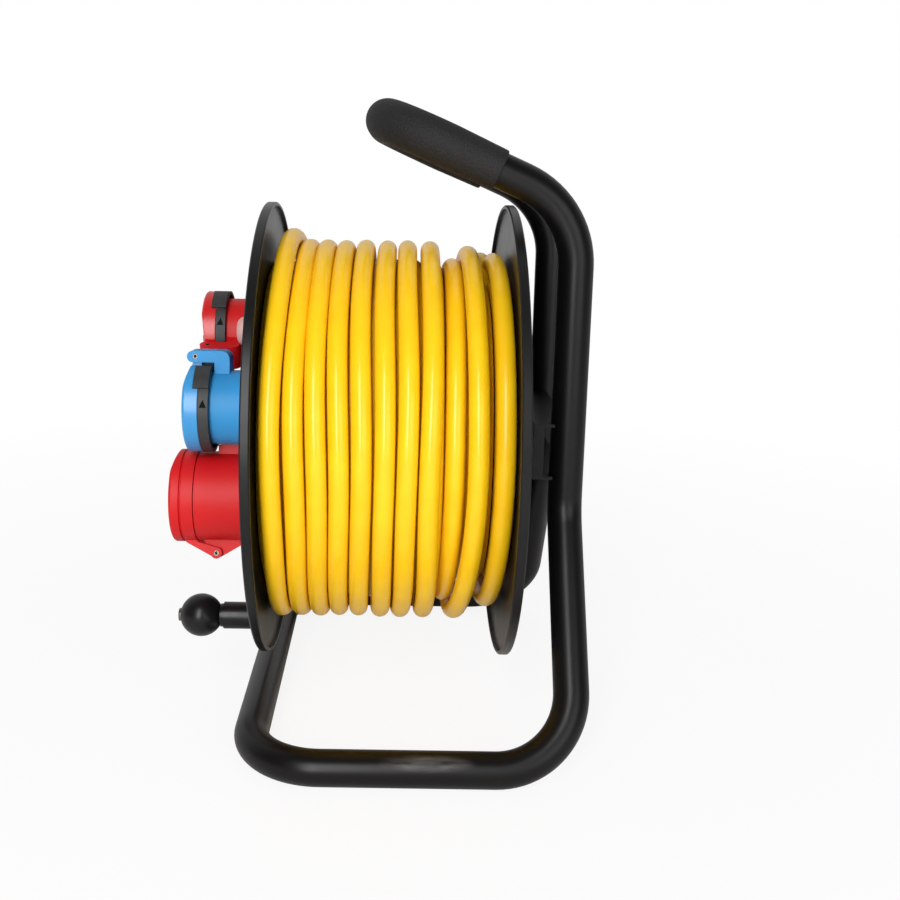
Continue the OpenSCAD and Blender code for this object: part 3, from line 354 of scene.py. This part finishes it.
def polyamide(name, dark, light, gloss, shine):
    """Polyamide, injection moulded: a clean even colour that drifts over 20 mm, a gloss as given, edges with
    a moulded radius of 0.4 mm, and a fine eroded grain drawn at 0.7 mm, coarser than it is."""
    made, tree, shader, place = material(name)
    melt = drift(tree, shader, place, dark, light, scale=50.0, detail=3.0)
    sheen = node(tree, "ShaderNodeMapRange", {"Value": melt, "To Min": gloss, "To Max": gloss + 0.1})
    tree.links.new(sheen.outputs["Result"], shader.inputs["Roughness"])
    grain = node(tree, "ShaderNodeTexNoise", {"Vector": place, "Scale": 1400.0, "Detail": 2.0})
    face = softened(tree, grain.outputs["Fac"], strength=0.08, depth=0.0002, edge=0.0004)
    tree.links.new(face, shader.inputs["Normal"])
    shader.inputs["Specular IOR Level"].default_value = shine
    return made


# The housings are satin, the lids come from a polished mould
socket_red = polyamide("red_polyamide", "#C80F13", "#D21519", gloss=0.44, shine=0.3)
lid_red = polyamide("polished_red_polyamide", "#C80F13", "#D21519", gloss=0.3, shine=0.6)
socket_blue = polyamide("blue_polyamide", "#2D8BC9", "#3796D2", gloss=0.44, shine=0.3)
lid_blue = polyamide("polished_blue_polyamide", "#2D8BC9", "#3796D2", gloss=0.3, shine=0.6)

# Glass-filled polyamide: matt charcoal, clouded over 6 mm where the fibres lie near the surface, with a
# coarse fibre grain of 0.5 mm
ring_grey, tree, shader, place = material("glass_filled_polyamide")
drift(tree, shader, place, "#222223", "#3A3A3B", scale=170.0, detail=5.0)
fibre_grain = node(tree, "ShaderNodeTexNoise", {"Vector": place, "Scale": 2000.0, "Detail": 2.0})
ring_face = softened(tree, fibre_grain.outputs["Fac"], strength=0.15, depth=0.0002, edge=0.0003)
tree.links.new(ring_face, shader.inputs["Normal"])
shader.inputs["Roughness"].default_value = 0.55

# Brass, turned: warm metal with a little tarnish over 5 mm
brass, tree, shader, place = material("turned_brass")
drift(tree, shader, place, "#A87F3C", "#D9B366", scale=200.0, detail=4.0)
shader.inputs["Metallic"].default_value = 1.0
shader.inputs["Roughness"].default_value = 0.3

# Rivet steel: bare, dulled by age and finger grease to a warm dark grey, clouded over 3 mm
rivet_steel, tree, shader, place = material("dulled_rivet_steel")
grease = drift(tree, shader, place, "#625E59", "#8E8983", scale=330.0, detail=4.0)
rivet_gloss = node(tree, "ShaderNodeMapRange", {"Value": grease, "To Min": 0.3, "To Max": 0.5})
tree.links.new(rivet_gloss.outputs["Result"], shader.inputs["Roughness"])
shader.inputs["Metallic"].default_value = 1.0

# Rubber, moulded: soft black, dull, bloomed grey in patches of 4 mm
rubber, tree, shader, place = material("black_seal_rubber")
drift(tree, shader, place, "#131313", "#242424", scale=250.0, detail=4.0)
shader.inputs["Roughness"].default_value = 0.75

dress(socket_red, "far_red_housing", "far_red_insert", "near_red_housing", "near_red_insert", "near_red_lid")
dress(socket_blue, "blue_housing", "blue_insert")
dress(lid_red, "far_red_lid")
dress(lid_blue, "blue_lid")
dress(ring_grey, "far_red_ring", "blue_ring")
dress(brass, "far_red_contacts", "blue_contacts", "near_red_contacts")
dress(rivet_steel, "far_red_pin", "blue_pin", "near_red_pin")
dress(zinc, "far_red_spring", "blue_spring", "near_red_spring")
dress(rubber, "far_red_seal", "blue_seal", "near_red_seal")

# Four pan-head screws in the corners of each panel. A panel has its socket's angle round the axle from the
# far side, and half the distance between two of its screws.
SOCKET_R, PANEL_FACE_X = 64.0, -79.0
FAR_RED_AT, BLUE_AT, NEAR_RED_AT = 77.7, 156.9, 212.5936
panels = np.array([[FAR_RED_AT, 22.0], [BLUE_AT, 22.0], [NEAR_RED_AT, 25.7]])
panel_at = np.radians(panels[:, :1])
panel_middle = SOCKET_R * np.concatenate([np.cos(panel_at), np.sin(panel_at)], axis=1) + [0, AXLE_Z]
corner_signs = np.array([[-1, -1], [-1, 1], [1, -1], [1, 1]])
panel_spots = (panel_middle[:, None] + panels[:, 1:, None] * corner_signs).reshape(-1, 2)
panel_grid = cross_screws(panel_spots, PANEL_FACE_X, -1, head=(3.2, 2.0), shank=(1.9, 7.2))
panel_screws = skin("panel_screws", panel_grid, zinc)
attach(panel_screws, "drum")
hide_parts("socket_screws")

# Arrows on the two rings: sunk in the mould and pointing to the thumb blocks. Each is darkened by a dead
# black three-cornered plate on the flat floor of its hollow. Its place is given by angles from the far side,
# and its corners by their places towards the tip and along the axle.
HOLLOW_R, ARROW_TOP_R = 27.35, 27.95
arrow_corners = np.array([[-2.3, -103.8], [2.1, -105.8], [-2.3, -107.8]])

# Arrow plates: dead black and dull, a little uneven in tone over 2 mm
arrow_black, tree, shader, place = material("dead_black_arrow_plate")
drift(tree, shader, place, "#060606", "#0E0E0E", scale=500.0, detail=2.0)
shader.inputs["Roughness"].default_value = 0.8
shader.inputs["Specular IOR Level"].default_value = 0.2
for ring_name, socket_at, arrow_at in (
    ("far_red_ring", FAR_RED_AT, 157.0),
    ("far_red_ring", FAR_RED_AT, 337.0),
    ("blue_ring", BLUE_AT, 165.0),
    ("blue_ring", BLUE_AT, 345.0),
):
    centre, facing = np.radians(socket_at), np.radians(arrow_at)
    middle = np.array([0, SOCKET_R * np.cos(centre), AXLE_Z + SOCKET_R * np.sin(centre)])
    outwards = np.array([0, np.cos(facing), np.sin(facing)])
    tipwards = np.array([0, np.sin(facing), -np.cos(facing)])
    outline = middle + arrow_corners[:, :1] * tipwards + arrow_corners[:, 1:] * np.array([1.0, 0, 0])
    plate = outline[None] + np.array([HOLLOW_R, ARROW_TOP_R])[:, None, None] * outwards
    arrow = skin(f"{ring_name}_arrow_{arrow_at:.0f}", plate, arrow_black, sharp=30)
    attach(arrow, ring_name)

# Thermal cut-out: a moulded body through the front flange, with a reset button under a soft cap of
# pinkish silicone that keeps the water out.

# Silicone, moulded: milky, light passes a few millimetres in, with dust-grey drift over 5 mm
silicone, tree, shader, place = material("milky_silicone_cap")
drift(tree, shader, place, "#CF9996", "#DDB0AC", scale=200.0, detail=3.0)
shader.inputs["Roughness"].default_value = 0.42
shader.inputs["Subsurface Weight"].default_value = 0.3
shader.inputs["Subsurface Scale"].default_value = 0.003
dress(drum_black, "cutout_body")
dress(silicone, "reset_button")

# Crank: a plain stem on the flange and a ball on it, both pressed of phenolic resin. A steel screw goes
# through both, and the ball spins on it.
KNOB_SEAT_X = -129.7
knob_spot = np.array([[-42.0, 65.03]])

# Phenolic resin, pressed and polished: deep black with a soft gloss, hazed by handling in patches of 8 mm
phenolic, tree, shader, place = material("black_phenolic_resin")
haze = drift(tree, shader, place, "#0F0F10", "#191919", scale=125.0, detail=4.0)
knob_gloss = node(tree, "ShaderNodeMapRange", {"Value": haze, "To Min": 0.24, "To Max": 0.4})
tree.links.new(knob_gloss.outputs["Result"], shader.inputs["Roughness"])
shader.inputs["Specular IOR Level"].default_value = 0.28
dress(phenolic, "crank_stem", "crank_knob")
knob_grid = cross_screws(knob_spot, KNOB_SEAT_X, -1, head=(4.35, 2.8), shank=(3.0, 56.3))
knob_screw = skin("knob_screw", knob_grid, rivet_steel)
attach(knob_screw, "drum")
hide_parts("crank_screw")

# Wound cable: a heavy lead with a jacket of yellow polyurethane, 12.4 mm thick, wound front to rear and
# back in three layers. It starts at the gland in the core, and three turns at the rear lie loose.
CABLE_D = 12.4
CABLE_SIDES = 18


def smooth(t):
    """Rises from 0 to 1 with level ends: three t squared less two t cubed."""
    t = np.clip(t, 0, 1)
    return t * t * (3 - 2 * t)


# Polyurethane, extruded: a smooth skin with a soft clear gloss, its tone drifting over some 15 mm, with the
# faint unevenness that the die leaves drawn at about 1 mm, coarser than it is, so that it shows
jacket, tree, shader, place = material("yellow_polyurethane_jacket")
drift(tree, shader, place, "#F0B90E", "#F7C81A", scale=65.0, detail=2.0)
uneven = node(tree, "ShaderNodeTexNoise", {"Vector": place, "Scale": 900.0, "Detail": 2.0})
uneven_bump = node(
    tree,
    "ShaderNodeBump",
    {"Height": uneven.outputs["Fac"], "Strength": 0.12, "Distance": 0.0002},
)
tree.links.new(uneven_bump.outputs["Normal"], shader.inputs["Normal"])
shader.inputs["Roughness"].default_value = 0.27
shader.inputs["IOR"].default_value = 1.45
shader.inputs["Specular IOR Level"].default_value = 0.4
dress(jacket, "cable_lead")

# Turns one after another from the gland: places along the axle at the bottom, on the near side and at the
# top, then the radii at the same three places
LAY_HALF, INNER_R, MIDDLE_R = 71.4, 96.5, 109.1
inner_turns = [(x, x, x, INNER_R, INNER_R, INNER_R) for x in np.linspace(-LAY_HALF, LAY_HALF, 12)]
loose_turns = [
    (66.5, 70.6, 69.4, 114.3, 114.3, 114.3),
    (44.5, 54.5, 52.0, 123.0, 119.0, 118.8),
    (37.5, 41.0, 41.5, 110.3, 110.3, 110.3),
]
middle_turns = [(x, x, x, MIDDLE_R, MIDDLE_R, MIDDLE_R) for x in np.linspace(28.2, -LAY_HALF, 9)]
outer_turns = [
    (-69.4, -66.6, -64.9, 121.5, 126.5, 128.9),
    (-57.0, -53.5, -53.4, 121.9, 121.9, 121.9),
    (-44.6, -40.9, -41.6, 122.2, 121.7, 121.7),
    (-32.2, -28.2, -29.0, 121.7, 121.4, 121.4),
    (-18.9, -15.3, -15.6, 121.7, 121.9, 121.9),
    (-3.6, -1.8, -1.2, 122.4, 121.6, 121.6),
    (10.4, 11.7, 12.2, 122.4, 121.9, 121.9),
    (26.4, 25.2, 27.0, 122.4, 121.6, 121.6),
]
turns = np.array(inner_turns + loose_turns + middle_turns + outer_turns)
CROSS_AT = 75.0
START_AT, END_AT = -30.0, 20.0
RING_STEP = 5.0
QUARTER, FULL = 90.0, 360.0
DIVE_RINGS = 13
DIVE_ALONG, DIVE_IN = 4.0, 23.0

# Angle round the axle from the far side upwards, falling as the lead is laid on: a turn comes up from the
# bottom over the near side to the top, and crosses to the next turn's place on the far side
angle = np.arange(START_AT, END_AT - FULL * len(turns), -RING_STEP)
around = np.radians(angle)
laid = (CROSS_AT - angle) / FULL
turn_no = np.floor(laid).astype(int)
within = ((CROSS_AT - angle) % FULL)[:, None]
past_bottom, past_near = within - CROSS_AT - QUARTER, within - CROSS_AT - 2 * QUARTER
before = turns[np.clip(turn_no - 1, 0, len(turns) - 1)].reshape(-1, 2, 3)
after = turns[np.clip(turn_no, 0, len(turns) - 1)].reshape(-1, 2, 3)
seat = after[..., 0] + (after[..., 1] - after[..., 0]) * smooth(past_bottom / QUARTER)
seat = seat + (after[..., 2] - after[..., 1]) * smooth(past_near / QUARTER)
wound = before[..., 2] + (seat - before[..., 2]) * smooth(within / (2 * CROSS_AT))
wound_x, wound_r = wound[:, 0], wound[:, 1]
# The outer layer is laid by hand, so its turns waver in two waves, each given by its height, its count to a
# turn and its start. The counts are not whole, so the waves drift a little from turn to turn.
WAVES = ((1.0, 1.93, 0.8), (0.45, 4.9, 0.0))
outer_from = len(inner_turns) + len(loose_turns) + len(middle_turns)
by_hand = smooth(2 * (laid - outer_from))
waver = sum(height * np.sin(count * around + start) for height, count, start in WAVES)
wound_x = wound_x + by_hand * waver
# The last stretch dives between two of the loose turns
dip = smooth((np.arange(len(angle)) - len(angle) + DIVE_RINGS + 1) / DIVE_RINGS)
wound_x = wound_x + DIVE_ALONG * dip
wound_r = wound_r - DIVE_IN * dip
outward = np.stack([np.zeros_like(around), np.cos(around), np.sin(around)], axis=1)
wound_path = wound_r[:, None] * outward
wound_path[:, 0] = wound_x
wound_path += np.array([AXLE_X, 0, AXLE_Z])
wound_along = unit(np.gradient(wound_path, axis=0))
wound_side = unit(np.cross(wound_along, outward))
wound_up = np.cross(wound_side, wound_along)
winding = skin("wound_cable", tube(wound_path, wound_side, wound_up, CABLE_D / 2, CABLE_SIDES), jacket)
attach(winding, "drum")
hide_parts("cable_winding")

# Free end of the cable: the same lead, which comes up from under the loose turns, hangs off the far side of
# the drum and lies on the floor, where its plug is.
tail_route = np.array([
    [70, 14, 278], [70.2, 27, 291],
    [70.5, 42, 298], [69.5, 63, 296.2], [69.5, 81, 283.6], [69.5, 96.6, 268.1], [69.5, 114.6, 246.6],
    [70, 132, 222], [72, 149, 195], [76, 165, 168], [81, 178, 141], [85, 189, 113], [86, 198, 85],
    [82, 205, 58], [72, 208, 34], [57, 208, 19], [37, 206, 11.5], [14, 204, 11.4],
])


def through(points, per_span):
    """Smooth line through points: each span is the cubic whose slope at an end is half the chord between
    that end's neighbours."""
    ends = np.concatenate([2 * points[:1] - points[1:2], points, 2 * points[-1:] - points[-2:-1]])
    p0, p1, p2, p3 = ends[:-3, None], ends[1:-2, None], ends[2:-1, None], ends[3:, None]
    t = np.linspace(0, 1, per_span, endpoint=False)[None, :, None]
    line = 0.5 * (
        2 * p1
        + (p2 - p0) * t
        + (2 * p0 - 5 * p1 + 4 * p2 - p3) * t**2
        + (3 * p1 - p0 - 3 * p2 + p3) * t**3
    )
    return np.concatenate([line.reshape(-1, 3), points[-1:]])


tail_path = through(tail_route, per_span=6)
tail_along = unit(np.gradient(tail_path, axis=0))
tail_side = unit(np.cross(tail_along, np.array([0.0, 1.0, 0.0])))
tail_up = np.cross(tail_along, tail_side)
tail = skin("cable_free_end", tube(tail_path, tail_side, tail_up, CABLE_D / 2, CABLE_SIDES), jacket)
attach(tail, "stand")
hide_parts("cable_tail")

# Plug: a five-pin plug of the same red polyamide, with a charcoal bayonet collar, brass pins and a black
# gland nut that grips the cable. It lies on the floor behind the drum.
dress(drum_black, "plug_nut")
dress(socket_red, "plug_body")
dress(ring_grey, "plug_collar")
dress(brass, "plug_pins")

# Camera: a look at the drum's side from in front and a little above, tilted 12 degrees down. The lens is a
# normal one, shifted to frame the reel, and the picture is turned by less than a degree.
camera_data = bpy.data.cameras.new("camera")
camera_data.lens = 44.4
camera_data.sensor_width = 36.0
camera_data.shift_x = 0.0589
camera_data.shift_y = -0.0341
camera_data.clip_start = 0.05
camera = bpy.data.objects.new("camera", camera_data)
bpy.context.scene.collection.objects.link(camera)
camera_spot = (0.01265, -0.7474, 0.3547)
camera_tilt = math.radians(90 - 12.2)
camera_roll = math.radians(0.865)
camera.matrix_world = (
    Matrix.Translation(camera_spot)
    @ Matrix.Rotation(camera_tilt, 4, "X")
    @ Matrix.Rotation(camera_roll, 4, "Z")
)
bpy.context.scene.camera = camera

# Studio: a white paper floor that keeps a soft shadow and fades into a white backdrop, one large soft lamp
# in front a little to the left, one weaker on the right and one behind. The room behind the camera is dim.
WHITE = (1, 1, 1, 1)
FLOOR_HALF = 3000.0
LAMP_AIM = Vector((0.0, 0.0, 0.2))
floor_grid = FLOOR_HALF * np.array([[[-1, -1, 0], [-1, 1, 0]], [[1, -1, 0], [1, 1, 0]]])


def direct_rays(tree):
    """The node that tells rays apart, and a share of 1 for those from the camera or through glass."""
    ray = node(tree, "ShaderNodeLightPath")
    camera_or_glass = {0: ray.outputs["Is Camera Ray"], 1: ray.outputs["Is Transmission Ray"]}
    return ray, node(tree, "ShaderNodeMath", camera_or_glass, operation="MAXIMUM").outputs["Value"]


# Paper: matt and nearly white. Seen directly it is mostly plain white, wholly so from a metre away on, so
# that the shadow stays faint and the floor runs into the backdrop
paper, tree, shader, place = material("white_paper_floor")
shader.inputs["Base Color"].default_value = linear("#F4F4F4")
shader.inputs["Roughness"].default_value = 0.8
shader.inputs["Specular IOR Level"].default_value = 0.0
away = node(tree, "ShaderNodeVectorMath", {0: place}, operation="LENGTH")
white_share = node(
    tree,
    "ShaderNodeMapRange",
    {"Value": away.outputs["Value"], "From Min": 0.3, "From Max": 1.0, "To Min": 0.88, "To Max": 1.0},
)
_, seen = direct_rays(tree)
white_part = node(tree, "ShaderNodeMath", {0: seen, 1: white_share.outputs["Result"]}, operation="MULTIPLY")
white = node(tree, "ShaderNodeEmission", {"Color": WHITE, "Strength": 1.0})
blended = node(
    tree,
    "ShaderNodeMixShader",
    {0: white_part.outputs["Value"], 1: shader.outputs["BSDF"], 2: white.outputs["Emission"]},
)
tree.links.new(blended.outputs["Shader"], tree.nodes["Material Output"].inputs["Surface"])
floor = skin("floor", floor_grid, paper, ring=False, capped=False)
scene = bpy.context.scene
scene.view_settings.view_transform = "Standard"
world = bpy.data.worlds.new("studio")
scene.world = world
world.use_nodes = True
tree = world.node_tree
room = tree.nodes["Background"]
room.inputs["Color"].default_value = WHITE
room.inputs["Strength"].default_value = 0.34
toward = node(tree, "ShaderNodeSeparateXYZ", {0: node(tree, "ShaderNodeTexCoord").outputs["Generated"]})
mirrored = node(
    tree,
    "ShaderNodeMapRange",
    {"Value": toward.outputs["Y"], "From Min": -0.3, "From Max": 0.5, "To Min": 0.08, "To Max": 0.7},
    interpolation_type="SMOOTHSTEP",
)
ray, shown = direct_rays(tree)
backdrop = node(tree, "ShaderNodeBackground", {"Color": WHITE, "Strength": 1.0})
reflected = node(tree, "ShaderNodeBackground", {"Color": WHITE, "Strength": mirrored.outputs["Result"]})
dim_or_mirrored = node(
    tree,
    "ShaderNodeMixShader",
    {0: ray.outputs["Is Glossy Ray"], 1: room.outputs["Background"], 2: reflected.outputs["Background"]},
)
all_rays = node(
    tree,
    "ShaderNodeMixShader",
    {0: shown, 1: dim_or_mirrored.outputs["Shader"], 2: backdrop.outputs["Background"]},
)
tree.links.new(all_rays.outputs["Shader"], tree.nodes["World Output"].inputs["Surface"])
# The lamp behind shows in no reflection, where the pale backdrop stands instead
for lamp_name, spot, wide, high, power, in_gloss in (
    ("front_left", (-0.32, -1.5, 0.8), 0.4, 1.3, 21.5, True),
    ("front_right", (0.85, -1.35, 0.55), 0.9, 0.9, 7.0, True),
    ("behind", (-0.3, 2.1, 1.2), 2.4, 2.4, 16.0, False),
):
    lamp_data = bpy.data.lights.new(lamp_name, "AREA")
    lamp_data.shape = "RECTANGLE"
    lamp_data.size = wide
    lamp_data.size_y = high
    lamp_data.energy = power
    lamp = bpy.data.objects.new(lamp_name, lamp_data)
    scene.collection.objects.link(lamp)
    lamp.visible_camera = False
    lamp.visible_glossy = in_gloss
    aim = LAMP_AIM - Vector(spot)
    lamp.matrix_world = Matrix.Translation(spot) @ aim.to_track_quat("-Z", "Y").to_matrix().to_4x4()
